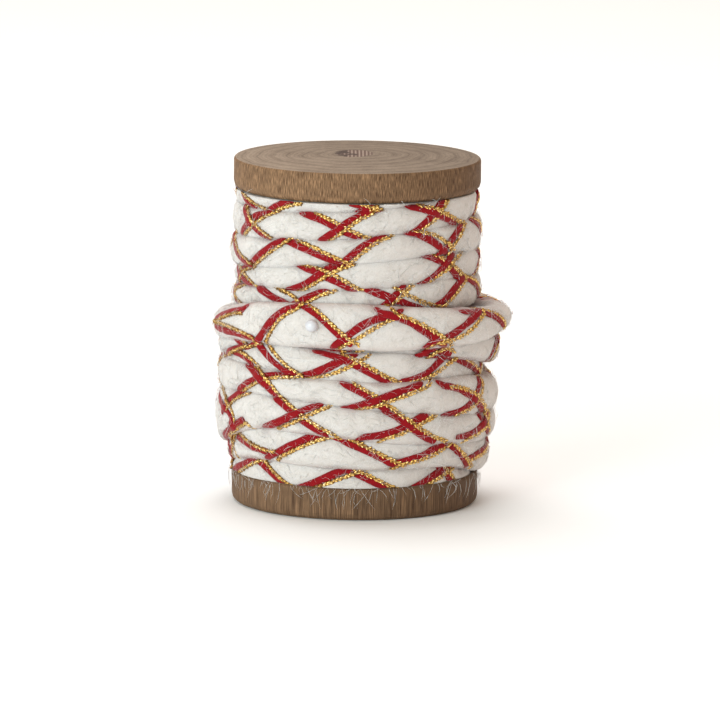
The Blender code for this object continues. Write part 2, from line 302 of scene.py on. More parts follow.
def add_pith(finish, place, pith, face):
    """The face with the torn reddish heart of the branch, dark on one side, in its middle."""
    tree = finish.tree
    near = finish.node("ShaderNodeMapping", {"Vector": place, "Location": pith,
                       "Scale": PITH_HALF}, vector_type="TEXTURE").outputs[0]
    near = stretched(tree, near, (1, 1, 0))
    ragged = calculate(tree, "SUBTRACT", noise(tree, near, 2.2, 3, 0.6), 0.5)
    reach = calculate(tree, "MULTIPLY_ADD", ragged, 0.7, length_of(tree, near))
    patch = ramp(tree, reach, ((0.80, 1), (1.0, 0)))
    outline = ramp(tree, reach, ((0.72, 0), (0.88, 0.8), (1.04, 0)))
    marks = finish.node("ShaderNodeTexWave", {"Vector": stretched(tree, near, (1, -0.16, 1)),
                        "Scale": 1.7, "Distortion": 0.9, "Detail": 1.0}).outputs["Fac"]
    torn = ramp(tree, marks, ((0.15, (0.140, 0.082, 0.062)), (0.55, (0.250, 0.165, 0.128)),
                              (0.9, (0.400, 0.305, 0.250))))
    aside = finish.node("ShaderNodeSeparateXYZ", {0: near}).outputs["X"]
    knots = calculate(tree, "MULTIPLY_ADD", aside, -0.25, noise(tree, near, 1.6, 2, 0.5))
    torn = mix(tree, ramp(tree, knots, ((0.50, 0), (0.62, 1))), torn, (0.075, 0.045, 0.035))
    face = mix(tree, outline, face, (0.110, 0.070, 0.050))
    return mix(tree, patch, face, torn)


def repaint(node, finish):
    """Give a CAD node a better material."""
    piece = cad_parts[node]
    piece.data.materials.clear()
    piece.data.materials.append(finish)


repaint("top_flange", wood_finish("wood_upper_end", (-0.001, 0.006, 0), 5.6, 2.2,
                                  (0.086, 0.041, 0.018), (0.205, 0.119, 0.062)))
repaint("bottom_flange", wood_finish("wood_lower_end", (0.003, -0.004, 0), 5.6, 8.0,
                                     (0.066, 0.031, 0.014), (0.160, 0.094, 0.051)))

# ---------------------------------------------------------------------------------------
# Barrel. The plain turned core that joins the two ends. It is of the same bare wood, is
# glued between them and is hidden by the winding.
repaint("barrel", wood_finish("wood_core", (0, 0, 0), 3.0, 9.0,
                              (0.200, 0.120, 0.070), (0.330, 0.230, 0.145)))

# ---------------------------------------------------------------------------------------
# Wool. A thick soft cord of felted off-white wool, wound in about eleven and a half turns.
# The ribbon wrapped round it pinches it into lens-shaped puffs.

# A row for each turn, from the foot up: the heights of the crease under it and how far its
# crest reaches out, in millimetres. Azimuths are in degrees from the front, to the right.
Turn = namedtuple(
    "Turn",
    "seam_left seam_front_left seam_front seam_front_right seam_right seam_back "
    "reach_left reach_front reach_right reach_back",
)
SEAM_AZIMUTHS = (-90, -45, 0, 45, 90, 180)
REACH_AZIMUTHS = (-90, 0, 90, 180)
TURNS = (
    Turn(-7.0, -4.0, -3.0, -3.0, -6.0, -1.0, 31.0, 32.0, 31.0, 31.0),
    Turn(4.0, 7.6, 7.5, 7.6, 2.0, 6.5, 31.0, 32.5, 31.0, 32.5),
    Turn(11.0, 14.9, 14.4, 13.4, 7.4, 12.4, 32.9, 35.0, 34.8, 35.5),
    Turn(16.5, 23.4, 22.0, 19.5, 18.3, 24.0, 36.0, 36.2, 36.2, 36.0),
    Turn(29.5, 31.4, 29.8, 26.7, 24.7, 31.3, 35.6, 36.0, 36.3, 35.0),
    Turn(38.2, 38.0, 36.1, 35.4, 34.8, 37.2, 34.6, 35.0, 33.0, 34.5),
    Turn(39.8, 44.2, 43.2, 42.3, 36.4, 39.8, 35.4, 32.5, 37.2, 37.0),
    Turn(42.8, 45.6, 45.8, 45.4, 44.7, 47.8, 36.6, 36.2, 40.1, 36.5),
    Turn(50.9, 54.4, 55.4, 53.7, 53.6, 55.3, 32.1, 32.3, 32.1, 32.0),
    Turn(56.9, 58.5, 59.7, 61.4, 60.0, 61.3, 31.3, 32.4, 31.8, 32.0),
    Turn(62.5, 64.5, 66.7, 68.1, 67.0, 68.5, 32.1, 32.4, 32.3, 32.2),
    Turn(70.0, 71.4, 73.2, 74.8, 75.2, 77.0, 31.9, 32.4, 31.2, 31.6),
    Turn(78.4, 78.6, 79.8, 82.0, 84.0, 85.0, 31.6, 31.8, 31.6, 31.6),
    Turn(86.0, 86.0, 87.0, 89.0, 91.0, 92.0, 31.6, 31.6, 31.6, 31.6),
)

# The cord's usual section: half its depth and its least half height, in millimetres, how
# much fuller it is than its row, and how blunt it is. An oval would have a roundness of 1.
CORD_DEPTH = 4.2
CORD_FULLNESS = 1.22
CORD_ROUNDNESS = 0.45
THINNEST_HALF = 3.2
LEAST_LEVEL = 0.03
MEAN_RADIUS = 0.033
TURN_LENGTH = 2 * math.pi * MEAN_RADIUS

# Where single stretches of the cord differ from the table: their middle and spread, in
# turns, and what is added to the reach (mm), thickness (share), roundness and height (mm).
Change = namedtuple("Change", "place spread reach thickness roundness height")
CHANGES = (
    Change(6.60, 0.11, -4.5, 0, 0, -0.6),
    Change(7.40, 0.11, -6.0, -0.20, 0, -0.8),
    Change(7.24, 0.08, 1.0, -0.42, 0.40, -0.1),
    Change(6.76, 0.07, 1.0, -0.15, 0.40, -0.4),
    Change(6.25, 0.06, 0, -0.10, 0.10, 0.5),
    Change(4.25, 0.07, 0.5, -0.20, 0.30, -0.8),
    Change(2.25, 0.08, 0, -0.20, 0.40, 0.6),
    Change(0.75, 0.10, 1.2, 0, 0, 0),
    Change(9.75, 0.07, 0.5, 0, 0, 0),
    Change(3.75, 0.06, 0, 0, -0.15, 0),
    Change(4.75, 0.06, 0, 0, -0.15, 0),
    Change(5.75, 0.06, 0, 0, -0.15, 0),
)
FIRST_PLACE = 0.66
LAST_PLACE = 12.11
ENDS_CLEARANCE = 0.00005
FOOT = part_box("bottom_flange")[1].z + ENDS_CLEARANCE
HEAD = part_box("top_flange")[0].z - ENDS_CLEARANCE


def curve_through(knots, values, at):
    """A smooth curve through unevenly spaced knots, read at the given places."""
    knots = np.asarray(knots, dtype=float)
    values = np.asarray(values, dtype=float)
    slopes = np.gradient(values, knots)
    span = np.clip(np.searchsorted(knots, at, side="right") - 1, 0, len(knots) - 2)
    width = knots[span + 1] - knots[span]
    part = (at - knots[span]) / width
    level = (1 + 2 * part) * (1 - part) ** 2 * values[span]
    level = level + part ** 2 * (3 - 2 * part) * values[span + 1]
    slope = part * (1 - part) ** 2 * slopes[span] + part ** 2 * (part - 1) * slopes[span + 1]
    return level + width * slope


def turn_knots(azimuths):
    """Places of the table's columns, counted in turns from the foot up."""
    return [row + azimuth / 360 for row in range(len(TURNS)) for azimuth in azimuths]


SEAM_KNOTS = turn_knots(SEAM_AZIMUTHS)
SEAM_VALUES = [value for turn in TURNS for value in turn[:len(SEAM_AZIMUTHS)]]
REACH_KNOTS = turn_knots(REACH_AZIMUTHS)
REACH_VALUES = [value for turn in TURNS for value in turn[len(SEAM_AZIMUTHS):]]


def closeness(distance, width):
    """A share that falls smoothly from 1, and is nearly 0 at twice the width."""
    return np.exp(-(distance / width) ** 2)


def cord_section(place):
    """The cord's section: its middle's radius and height, half sizes (m) and roundness."""
    lower = curve_through(SEAM_KNOTS, SEAM_VALUES, place)
    upper = curve_through(SEAM_KNOTS, SEAM_VALUES, place + 1)
    reach = curve_through(REACH_KNOTS, REACH_VALUES, place) - CORD_DEPTH
    height, fullness, roundness = (lower + upper) / 2, CORD_FULLNESS, CORD_ROUNDNESS
    for change in CHANGES:
        near = closeness(place - change.place, change.spread)
        reach = reach + change.reach * near
        height = height + change.height * near
        fullness = fullness + CORD_FULLNESS * change.thickness * near
        roundness = roundness + change.roundness * near
    half = np.maximum((upper - lower) / 2 * fullness, THINNEST_HALF)
    return reach * MM, height * MM, CORD_DEPTH * MM, half * MM, roundness


def cord_surface(place, angle, lift=0.0):
    """World points and outward directions on the cord, for places counted in turns.

    The angle goes round the section from its outermost point, up being positive. The
    section is flatter than an oval outside, because the turns press on each other.
    """
    place, angle = np.broadcast_arrays(place, angle)
    reach, height, depth, half, roundness = cord_section(place)
    level_part = np.abs(np.cos(angle))
    blunt = roundness * np.maximum(level_part, LEAST_LEVEL) ** (roundness - 1)
    out, up = np.cos(angle) * half, np.sin(angle) * depth * blunt
    size = np.sqrt(out ** 2 + up ** 2)
    out, up = out / size, up / size
    radius = reach + depth * np.sign(np.cos(angle)) * level_part ** roundness + lift * out
    level = height + half * np.sin(angle) + lift * up
    turn = 2 * math.pi * place
    points = np.stack((radius * np.sin(turn), -radius * np.cos(turn), level), axis=-1)
    normals = np.stack((out * np.sin(turn), -out * np.cos(turn), up), axis=-1)
    return points, normals


# The ribbon's passes over the front of the cord, the rising ones climbing to the right: the
# turn, then three points along the red band and three along its braid, each with its
# azimuth and its angle round the section, in degrees.
Pass = namedtuple("Pass", "turn band braid")
RISING = (
    Pass(1, (-75.5, 6, -62, 28, -53.5, 53), (-67, -3, -57.5, 18, -49.5, 35)),
    Pass(1, (-28.5, -65, -13.5, -1, -0.5, 49), (-21, -54, -9, -8, 2.5, 30)),
    Pass(1, (29.5, -50, 38.5, -8, 51, 43), (33.5, -57, 43, -15, 55, 41)),
    Pass(2, (-41, -47, -26.5, 7, -14.5, 56), (-34, -40, -21, 10, -9.5, 52)),
    Pass(2, (18.5, -31, 30.5, -1, 45, 66), (19, -41, 31.5, -15, 45.5, 47)),
    Pass(2, (59.5, -19, 74, 6, 95, 28), (63, -22, 71.5, -7, 84.5, 9)),
    Pass(3, (-80, -70, -64.5, -51, -55, -34), (-74, -79, -61, -61, -52.5, -44)),
    Pass(3, (-71.5, 7, -64, 32, -57, 57), (-65, 12, -58, 34, -51.5, 55)),
    Pass(3, (-40.5, -60, -27, 1, -16, 53), (-32, -47, -21, 4, -11.5, 50)),
    Pass(3, (4.5, -43, 17, -10, 29.5, 47), (12.5, -42, 23, -4, 34.5, 47)),
    Pass(3, (51, -30, 64, -4, 76, 63), (56, -39, 68.5, -7, 80, 57)),
    Pass(4, (-92, 31, -85.5, 58, -82.5, 83), (-87, 30, -79, 60, -77.5, 84)),
    Pass(4, (-58, -39, -42.5, 28, -30.5, 68), (-53, -35, -39, 24, -27, 53)),
    Pass(4, (-4.5, -68, 10.5, 0, 26, 49), (2, -54, 16, -2, 30.5, 41)),
    Pass(4, (42.5, -55, 57, -9, 67.5, 83), (50.5, -46, 61.5, -9, 67, 49)),
    Pass(5, (-71.5, 7, -59, 39, -51, 67), (-65.5, 9, -56, 38, -48.5, 55)),
    Pass(5, (-22, -39, -11, 7, -1, 67), (-20, -50, -7, -6, 4.5, 53)),
    Pass(5, (21.5, -43, 33, -12, 44, 57), (23.5, -49, 36.5, -19, 51, 42)),
    Pass(6, (-6.5, -20, -3, 5, 1, 22), (-3.5, -34, 0.5, -8, 4.5, 13)),
    Pass(6, (31, -17, 34, -2, 37, 13), (33, -43, 35.5, -23, 38.5, -7)),
    Pass(6, (77.5, -74, 78.5, -9, 91.5, 35), (83.5, -78, 81.5, -22, 94, 11)),
    Pass(7, (-82.5, 12, -68, 38, -56.5, 44), (-77, 7, -66.5, 25, -58, 32)),
    Pass(7, (-45, -49, -37, 13, -28.5, 59), (-40.5, -50, -34, 10, -26, 51)),
    Pass(7, (-8, -49, 2.5, 9, 15.5, 43), (-5, -50, 5.5, -5, 16, 33)),
    Pass(7, (32.5, -40, 44, -4, 56.5, 61), (35, -41, 47.5, -18, 58.5, 52)),
    Pass(8, (-94.5, 0, -86.5, 39, -75.5, 67), (-80.5, 15, -78.5, 33, -74, 46)),
    Pass(8, (-31.5, -39, -23, 6, -15.5, 43), (-26.5, -39, -19, 9, -11.5, 39)),
    Pass(8, (10, -64, 16, -7, 21.5, 42), (14, -62, 19, -6, 24.5, 36)),
    Pass(8, (40.5, -37, 49.5, 1, 60, 51), (45, -36, 53.5, -2, 62.5, 44)),
    Pass(9, (-81.5, -33, -73.5, 16, -65.5, 50), (-78, -36, -68.5, 16, -59, 42)),
    Pass(9, (-33, -54, -22, -8, -13.5, 39), (-28, -59, -17.5, -6, -9, 32)),
    Pass(9, (-15, 32, -11, 45, -7.5, 56), (-8.5, 31, -5, 44, -1.5, 56)),
    Pass(9, (30.5, -76, 40.5, -20, 51.5, 47), (38, -51, 46.5, -7, 57.5, 39)),
    Pass(10, (-59, -50, -48, 6, -39, 49), (-56, -51, -43, 7, -33.5, 52)),
    Pass(10, (-8, -56, 1, 8, 11.5, 52), (-3, -51, 5, 10, 15, 51)),
    Pass(10, (43, -40, 49.5, 1, 57.5, 49), (49, -40, 54, -2, 60, 38)),
    Pass(11, (-70, -35, -57, 22, -45.5, 57), (-63.5, -32, -51, 18, -41.5, 57)),
    Pass(11, (-16, -56, -4.5, 16, 7.5, 67), (-11.5, -51, -2.5, 6, 7, 49)),
    Pass(11, (29, -47, 36.5, 0, 45.5, 49), (33.5, -38, 40.5, -4, 47, 37)),
    Pass(12, (-45.5, -47, -39, -24, -33.5, -7), (-41.5, -46, -35, -26, -29, -15)),
)
FALLING = (
    Pass(1, (-57, 54, -43.5, 0, -34, -52), (-49.5, 49, -41, 1, -33.5, -38)),
    Pass(1, (-5.5, 40, 4, 10, 13.5, -32), (-0.5, 40, 9, 4, 19, -43)),
    Pass(2, (-83.5, 1, -83, -32, -85.5, -66), (-71, -3, -70, -28, -70.5, -57)),
    Pass(2, (-71, 42, -56, -9, -44.5, -30), (-66.5, 41, -52, -9, -40, -27)),
    Pass(2, (-10.5, 57, 3, 17, 16, -34), (-6, 62, 6, 19, 18, -27)),
    Pass(2, (40.5, 63, 49, 16, 59, -46), (46.5, 63, 52.5, 5, 64, -54)),
    Pass(3, (-92.5, 35, -70.5, 6, -64, -34), (-81.5, 64, -67, 22, -61, -18)),
    Pass(3, (-34.5, 52, -24, 0, -14.5, -42), (-30.5, 50, -20, -2, -9.5, -41)),
    Pass(3, (13, 63, 22, 13, 32.5, -38), (15.5, 74, 25.5, 12, 38, -36)),
    Pass(3, (64.5, 60, 67, 21, 72.5, -18), (70.5, 61, 71.5, 27, 74, -3)),
    Pass(4, (-54, 71, -42.5, 9, -35, -46), (-50.5, 82, -39, 15, -32.5, -49)),
    Pass(4, (-3.5, 51, 5, 7, 12.5, -44), (1, 49, 9, 4, 17.5, -46)),
    Pass(4, (40.5, 43, 53, 14, 66.5, -41), (46.5, 35, 58, 10, 70.5, -40)),
    Pass(5, (-64.5, 8, -56, -11, -52, -46), (-59, 13, -51.5, -9, -46.5, -37)),
    Pass(5, (-48, 67, -38, -6, -28.5, -40), (-42, 69, -33, 2, -25, -34)),
    Pass(5, (-17, 70, -1.5, 27, 12.5, -38), (-5, 63, 6.5, 10, 18.5, -41)),
    Pass(5, (32, 58, 47.5, 41, 69, -8), (46, 68, 58, 47, 72.5, -7)),
    Pass(6, (-16.5, 16, -11, 3, -6, -17), (-11, 19, -7, 4, -4, -18)),
    Pass(6, (35, 19, 38, -1, 42, -18), (37, 39, 39.5, 19, 43, 3)),
    Pass(7, (-77, -18, -60.5, -35, -49, -48), (-75.5, 3, -59, -18, -48.5, -45)),
    Pass(7, (-22.5, 69, -12.5, 14, -4, -36), (-20, 72, -10.5, 13, -1.5, -34)),
    Pass(7, (11.5, 45, 24, 15, 36.5, -45), (17.5, 42, 28, 13, 39.5, -39)),
    Pass(7, (49, 68, 60.5, 52, 71, -4), (57.5, 81, 66, 52, 74, -13)),
    Pass(8, (-95, 30, -85.5, -9, -75, -53), (-83, 19, -75.5, -23, -67.5, -59)),
    Pass(8, (-52, 42, -41.5, -3, -32.5, -30), (-38.5, 44, -31, 15, -26, -26)),
    Pass(8, (5, 55, 17, 1, 31.5, -53), (19.5, 42, 28.5, -5, 40.5, -36)),
    Pass(8, (57, 57, 71, 31, 87, -38), (67, 56, 77, 27, 89.5, -20)),
    Pass(9, (-91.5, 39, -70.5, -19, -58.5, -69), (-82.5, 49, -65.5, 0, -57, -45)),
    Pass(9, (-27.5, 63, -13.5, 5, -1.5, -47), (-24.5, 60, -9.5, 10, 2.5, -54)),
    Pass(9, (34, 64, 43, 23, 53.5, -32), (40.5, 54, 48, 17, 57.5, -29)),
    Pass(10, (-83.5, 45, -75.5, -6, -64.5, -44), (-81.5, 61, -72, 4, -61.5, -35)),
    Pass(10, (-34, 55, -19.5, 1, -7, -50), (-27, 49, -15.5, 5, -5.5, -39)),
    Pass(10, (25.5, 60, 35, 20, 45.5, -43), (29, 59, 38.5, 32, 47.5, -18)),
    Pass(10, (72.5, 57, 79, 31, 87, 3), (77.5, 55, 85.5, 29, 90.5, 5)),
    Pass(11, (-67.5, 40, -57.5, -7, -48, -44), (-64.5, 47, -55, 1, -46.5, -36)),
    Pass(11, (-25.5, 64, -12, 10, -0.5, -49), (-18.5, 56, -6.5, 2, 5, -53)),
    Pass(11, (26.5, 57, 38, 15, 52.5, -40), (31.5, 54, 42, 16, 56.5, -37)),
    Pass(12, (-71.5, 0, -66.5, -32, -59.5, -56), (-66, -13, -57, -31, -49, -47)),
    Pass(12, (0.5, -21, 4.5, -32, 8.5, -48), (3, -20, 6.5, -31, 10.5, -45)),
)
PASS_SPACING = 48 / 360
EVEN_CLIMB = 58
EVEN_ADVANCE = 8
BRAID_ASIDE = 4
PATH_SAMPLES = 281
PATH_STEP = 0.0005
RUN_ON = 0.0024
LONGEST_RUN_ON = 0.0060
DIVE = math.radians(30)
DIVES_FROM = math.radians(38)
HIDDEN_FROM = math.radians(104)
THINNING = 0.5
Path = namedtuple("Path", "place angle fullness")


def weights_of_three(share):
    """How much each of three points counts on the smooth curve through them."""
    return np.stack((2 * (share - 0.5) * (share - 1), -4 * share * (share - 1),
                     2 * share * (share - 0.5)), axis=-1)


def shown_path(turn, listed):
    """A curve through three listed points, run on at both ends.

    Ends near a crease dive into it, getting narrower on the way.
    """
    places = turn + np.array(listed[0::2]) / 360
    angles = np.radians(listed[1::2])
    chord = np.linalg.norm(np.diff(cord_surface(places, angles)[0], axis=0), axis=1).sum()
    share = np.linspace(-LONGEST_RUN_ON / chord, 1 + LONGEST_RUN_ON / chord, PATH_SAMPLES)
    inner = np.clip(share, 0, 1)
    slopes = np.stack((4 * inner - 3, 4 - 8 * inner, 4 * inner - 1), axis=1)
    weights = weights_of_three(inner) + slopes * (share - inner)[:, None]
    beyond = np.abs(share - inner) * chord
    nearest = np.where(share < 0.5, angles[0], angles[-1])
    dives = np.abs(nearest) > DIVES_FROM
    path_angles = weights @ angles + DIVE * np.sign(nearest) * dives * (beyond / RUN_ON) ** 2
    keep = (beyond <= RUN_ON) | (dives & (np.abs(path_angles) < HIDDEN_FROM))
    path_places, path_angles, beyond = (weights @ places)[keep], path_angles[keep], beyond[keep]
    points, _ = cord_surface(path_places, path_angles)
    travelled = np.concatenate(([0], np.cumsum(np.linalg.norm(np.diff(points, axis=0), axis=1))))
    steps = np.arange(0, travelled[-1], PATH_STEP)
    return Path(np.interp(steps, travelled, path_places),
                np.interp(steps, travelled, path_angles),
                np.interp(steps, travelled, 1 - THINNING * beyond / LONGEST_RUN_ON))


def even_pass(middle, hand):
    """One pass that isn't listed, over the crest at the usual slope."""
    band, braid = ((middle_azimuth - EVEN_ADVANCE, -EVEN_CLIMB * hand, middle_azimuth, 0,
                    middle_azimuth + EVEN_ADVANCE, EVEN_CLIMB * hand)
                   for middle_azimuth in (0, BRAID_ASIDE))
    return Pass(middle, band, braid)


def all_passes(shown, hand):
    """Every pass of one winding: the listed ones, and even ones in the gaps they leave."""
    chosen = []
    previous = FIRST_PLACE - PASS_SPACING
    for row in sorted(shown, key=lambda row: row.turn + row.band[2] / 360):
        middle = row.turn + row.band[2] / 360
        spare = round((middle - previous) / PASS_SPACING) - 1
        for extra in range(spare):
            chosen.append(even_pass(previous + (middle - previous) * (extra + 1) / (spare + 1),
                                    hand))
        chosen.append(row)
        previous = middle
    while previous + PASS_SPACING < LAST_PLACE:
        previous += PASS_SPACING
        chosen.append(even_pass(previous, hand))
    return chosen


BANDS, BRAIDS = {}, {}
for winding, shown, hand in (("rising", RISING, 1), ("falling", FALLING, -1)):
    passes = all_passes(shown, hand)
    BANDS[winding] = [shown_path(row.turn, row.band) for row in passes]
    BRAIDS[winding] = [shown_path(row.turn, row.braid) for row in passes]


def marks_along(paths):
    """Points on the cord along many paths, ready to measure distances from."""
    marks = np.concatenate([cord_surface(path.place, path.angle)[0] for path in paths])
    tree = KDTree(len(marks))
    for index, mark in enumerate(marks):
        tree.insert(mark, index)
    tree.balance()
    return tree


def distance_from(tree, points):
    """Distance of each point from the nearest mark, in metres."""
    return np.array([tree.find(point)[2] for point in points])


BAND_MARKS = marks_along(BANDS["rising"] + BANDS["falling"])
BRAID_MARKS = marks_along(BRAIDS["rising"] + BRAIDS["falling"])


def soft_noise(points, size, seed):
    """Smooth lumps of about the given size, mostly from -1 to 1, the same on every run."""
    rng = np.random.default_rng(seed)
    total = np.zeros(len(points))
    waves = 24
    for _ in range(waves):
        direction = rng.normal(size=3)
        direction /= np.linalg.norm(direction)
        pace = 2 * math.pi / (size * rng.uniform(0.7, 1.6))
        total += np.sin(points @ direction * pace + rng.uniform(0, 2 * math.pi))
    return total / math.sqrt(waves)


def mesh_piece(name, points, faces, finish):
    """A smooth mesh in the scene, from its points and faces."""
    mesh = bpy.data.meshes.new(name)
    mesh.from_pydata(points.tolist(), [], faces)
    mesh.materials.append(finish)
    mesh.shade_smooth()
    return put_in_scene(name, mesh)


VALUE_KEYS = {"FLOAT": "value", "FLOAT_VECTOR": "vector", "FLOAT_COLOR": "color"}


def give_values(piece, name, kind, values):
    """A value at each point of a piece, for its material to read."""
    attribute = piece.data.attributes.new(name, kind, "POINT")
    attribute.data.foreach_set(VALUE_KEYS[kind], values.ravel())


def grid_faces(rings, around):
    """Faces between closed rings of points, each ring joined to the next."""
    faces = []
    for ring in range(rings - 1):
        base = ring * around
        for step in range(around):
            after = (step + 1) % around
            faces.append((base + step, base + around + step, base + around + after,
                          base + after))
    return faces


def tube_faces(rings, around):
    """Faces between closed rings of points, and one over each end."""
    last = (rings - 1) * around
    return grid_faces(rings, around) + [tuple(reversed(range(around))),
                                        tuple(range(last, last + around))]


def fade(values, start, end):
    """An even change from 0 at the start to 1 at the end."""
    return np.clip((values - start) / (end - start), 0, 1)


# Angles round the section: close together on the shown side, three on the hidden one.
SECTION_ANGLES = np.radians(np.concatenate((
    np.linspace(-92, 92, 36), np.array([118, 180, 242]))))
PINCH_FADE = (60, 80)
CREASE_FADE = (42, 76)
PINCH = 0.00060
PINCH_WIDTH = 0.0017
BRAID_PINCH = 0.00042
BRAID_PINCH_WIDTH = 0.0010
PUFF = 0.00032
PUFF_WIDTH = 0.0042
OPEN_WIDTH = 0.0025
LUMPS = ((0.00007, 0.007, 3), (0.00002, 0.002, 4))  # height, size and seed
DYE_WIDTH = 0.0014
# Dye near the ribbons; the crease terms are painted shade, darker where the turns meet.
OPEN_DYE = 0.08
CREASE_DYE_AND_SHADE = 0.26
SPREAD_WIDTH = 0.0040
SPREAD_DYE_AND_SHADE = 0.36
CREASE_SHADE = 0.03
STEP_ALONG = 0.00062
LIE_ROUND = 0.075  # millimetres of pattern to a degree round the section


def wool_finish():
    """Felted wool: pale, matt and fibrous, pinker where the ribbon's dye rubs off; creases get
    painted shade.
    """
    finish = Finish("felted_wool", 0.95, Specular_IOR_Level=0.08, Sheen_Weight=0.10,
                    Sheen_Roughness=0.5, Subsurface_Weight=0.25, Subsurface_Scale=0.0026,
                    Subsurface_Radius=(1.0, 0.85, 0.7))
    tree = finish.tree
    lie = finish.read("lie", "Vector")
    near = finish.read("ribbon_dye_and_crease_shade", "Fac")
    swirl = finish.node("ShaderNodeTexNoise", {"Vector": stretched(tree, lie, (0.35, 0.5, 1)),
                        "Scale": 1.0, "Detail": 2.0}).outputs["Color"]
    bent = finish.node("ShaderNodeVectorMath", {0: swirl, 1: (4.0, 4.0, 0), 2: lie},
                       operation="MULTIPLY_ADD").outputs[0]
    streaks = noise(tree, stretched(tree, bent, (0.9, 5.5, 1)), 1.0, 3, 0.7, 0.5)
    crossing = noise(tree, stretched(tree, bent, (5.0, 1.3, 1)), 1.0, 3, 0.7, 1.2)
    curls = noise(tree, lie, 6.0, 3, 0.7, 1.5)
    tufts = noise(tree, stretched(tree, lie, (0.22, 0.35, 1)), 1.0, 3, 0.55)
    pale = ramp(tree, streaks, ((0.34, (0.650, 0.618, 0.590)), (0.60, (0.716, 0.684, 0.658))))
    for fibres, low in ((crossing, 0.89), (curls, 0.91)):
        tone = ramp(tree, fibres, ((0.34, (low, low - 0.008, low - 0.016)), (0.60, 1.05)))
        pale = mix(tree, 1.0, pale, tone, "MULTIPLY")
    shade = ramp(tree, tufts, ((0.30, (0.955, 0.945, 0.935)), (0.65, 1)))
    pale = mix(tree, 1.0, pale, shade, "MULTIPLY")
    motes = noise(tree, stretched(tree, lie, (0.8, 2.2, 1)), 0.9, 1, 0.4)
    pale = mix(tree, ramp(tree, motes, ((0.765, 0), (0.80, 0.5))), pale, (0.32, 0.20, 0.12))
    # Painted shade and dye: dark pink-brown mixed in near the ribbons and in the creases between
    # turns.
    finish.colour(mix(tree, near, pale, (0.34, 0.18, 0.17)))
    relief = calculate(tree, "ADD", calculate(tree, "ADD", streaks, crossing), curls)
    finish.bump(relief, 0.00007, 0.8)
    return finish.material


FELTED_WOOL = wool_finish()


def wool_cord(name, first, last):
    """A stretch of the wound wool between two places, pinched where the ribbons pass."""
    places = np.linspace(first, last, round((last - first) * TURN_LENGTH / STEP_ALONG))
    place, angle = (part.ravel() for part in np.meshgrid(places, SECTION_ANGLES, indexing="ij"))
    degrees = np.degrees(angle)
    base, _ = cord_surface(place, angle)
    apart = distance_from(BAND_MARKS, base)
    from_braid = distance_from(BRAID_MARKS, base)
    pressed = np.maximum(PINCH * closeness(apart, PINCH_WIDTH),
                         BRAID_PINCH * closeness(from_braid, BRAID_PINCH_WIDTH))
    pressed *= 1 - fade(np.abs(degrees), *PINCH_FADE)
    lift = PUFF * (1 - closeness(apart, PUFF_WIDTH)) - pressed
    lumps = sum(height * soft_noise(base, size, seed) for height, size, seed in LUMPS)
    lift += (1 - closeness(apart, OPEN_WIDTH)) * lumps
    points, _ = cord_surface(place, angle, lift)
    points[:, 2] = np.clip(points[:, 2], FOOT, HEAD)
    piece = mesh_piece(name, points, tube_faces(len(places), len(SECTION_ANGLES)), FELTED_WOOL)
    # Dye near the ribbons, and painted shade in the creases between turns, most where ribbons
    # dive in.
    crease = fade(np.abs(degrees), *CREASE_FADE)
    dye_and_crease_shade = (closeness(apart, DYE_WIDTH) * (OPEN_DYE + CREASE_DYE_AND_SHADE * crease)
            + (CREASE_SHADE + SPREAD_DYE_AND_SHADE * closeness(apart, SPREAD_WIDTH)) * crease)
    give_values(piece, "ribbon_dye_and_crease_shade", "FLOAT", dye_and_crease_shade)
    lie = (place * TURN_LENGTH / MM, degrees * LIE_ROUND, np.zeros(len(place)))
    give_values(piece, "lie", "FLOAT_VECTOR", np.stack(lie, axis=-1))
    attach(piece, "root")
    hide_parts("wound_cord")


BREAKS = (FIRST_PLACE, 4.5, 8.5, LAST_PLACE)
for part_name, low_end, high_end in zip(("wool_lower", "wool_middle", "wool_upper"),
                                        BREAKS, BREAKS[1:]):
    wool_cord(part_name, low_end, high_end)

# ---------------------------------------------------------------------------------------
# Ribbon. A flat matt red woollen ribbon, wrapped round the cord in both hands. The
# windings lie in the grooves that they press into the wool and cross over each other.
RIBBON_HALF_WIDTH = 0.00102
WIDTH_CHANGES = (0.80, 1.14)
WIDTH_CHANGE_STEP = 6
RIBBON_SECTION = (  # across, as a share of the half width, and height in metres
    (-1.0, 0.00000), (-0.75, 0.00020), (-0.3, 0.00027), (0.3, 0.00027), (0.75, 0.00020),
    (1.0, 0.00000), (0.6, -0.00025), (-0.6, -0.00025),
)
RIBBON_SINK = -0.00036
CROSSING_RAISE = 0.00045
CROSSING_WIDTH = 0.0016
ENDS_OVERRUN = 0.0008
FEWEST_RINGS = 6


def ribbon_frame(path, lift):
    """Points along a path and its directions: along, across towards the right, outward."""
    points, outward = cord_surface(path.place, path.angle, lift)
    along = np.gradient(points, axis=0)
    along /= np.linalg.norm(along, axis=1)[:, None]
    across = np.cross(along, outward)
    across /= np.linalg.norm(across, axis=1)[:, None]
    turn = 2 * math.pi * path.place
    rightward = np.stack((np.cos(turn), np.sin(turn), np.zeros(len(turn))), axis=-1)
    side = np.sign(np.sum(across * rightward, axis=1))[:, None]
    across *= np.median(side)
    return points, along, across, outward


def crossing_lift(paths, other_marks, start_over):
    """How far each path is raised where it passes over the other winding."""
    lifts = []
    for number, path in enumerate(paths):
        apart = distance_from(other_marks, cord_surface(path.place, path.angle)[0])
        over = (number % 2 == 0) == start_over
        lifts.append(CROSSING_RAISE * np.exp(-(apart / CROSSING_WIDTH) ** 4) * over)
    return lifts


def clear_of_ends(points):
    """Which points of a path lie between the spool's two wooden ends."""
    return (points[:, 2] > FOOT - ENDS_OVERRUN) & (points[:, 2] < HEAD + ENDS_OVERRUN)


def counted_from(first, faces):
    """The same faces on points that are counted from a later one."""
    return [tuple(first + corner for corner in face) for face in faces]


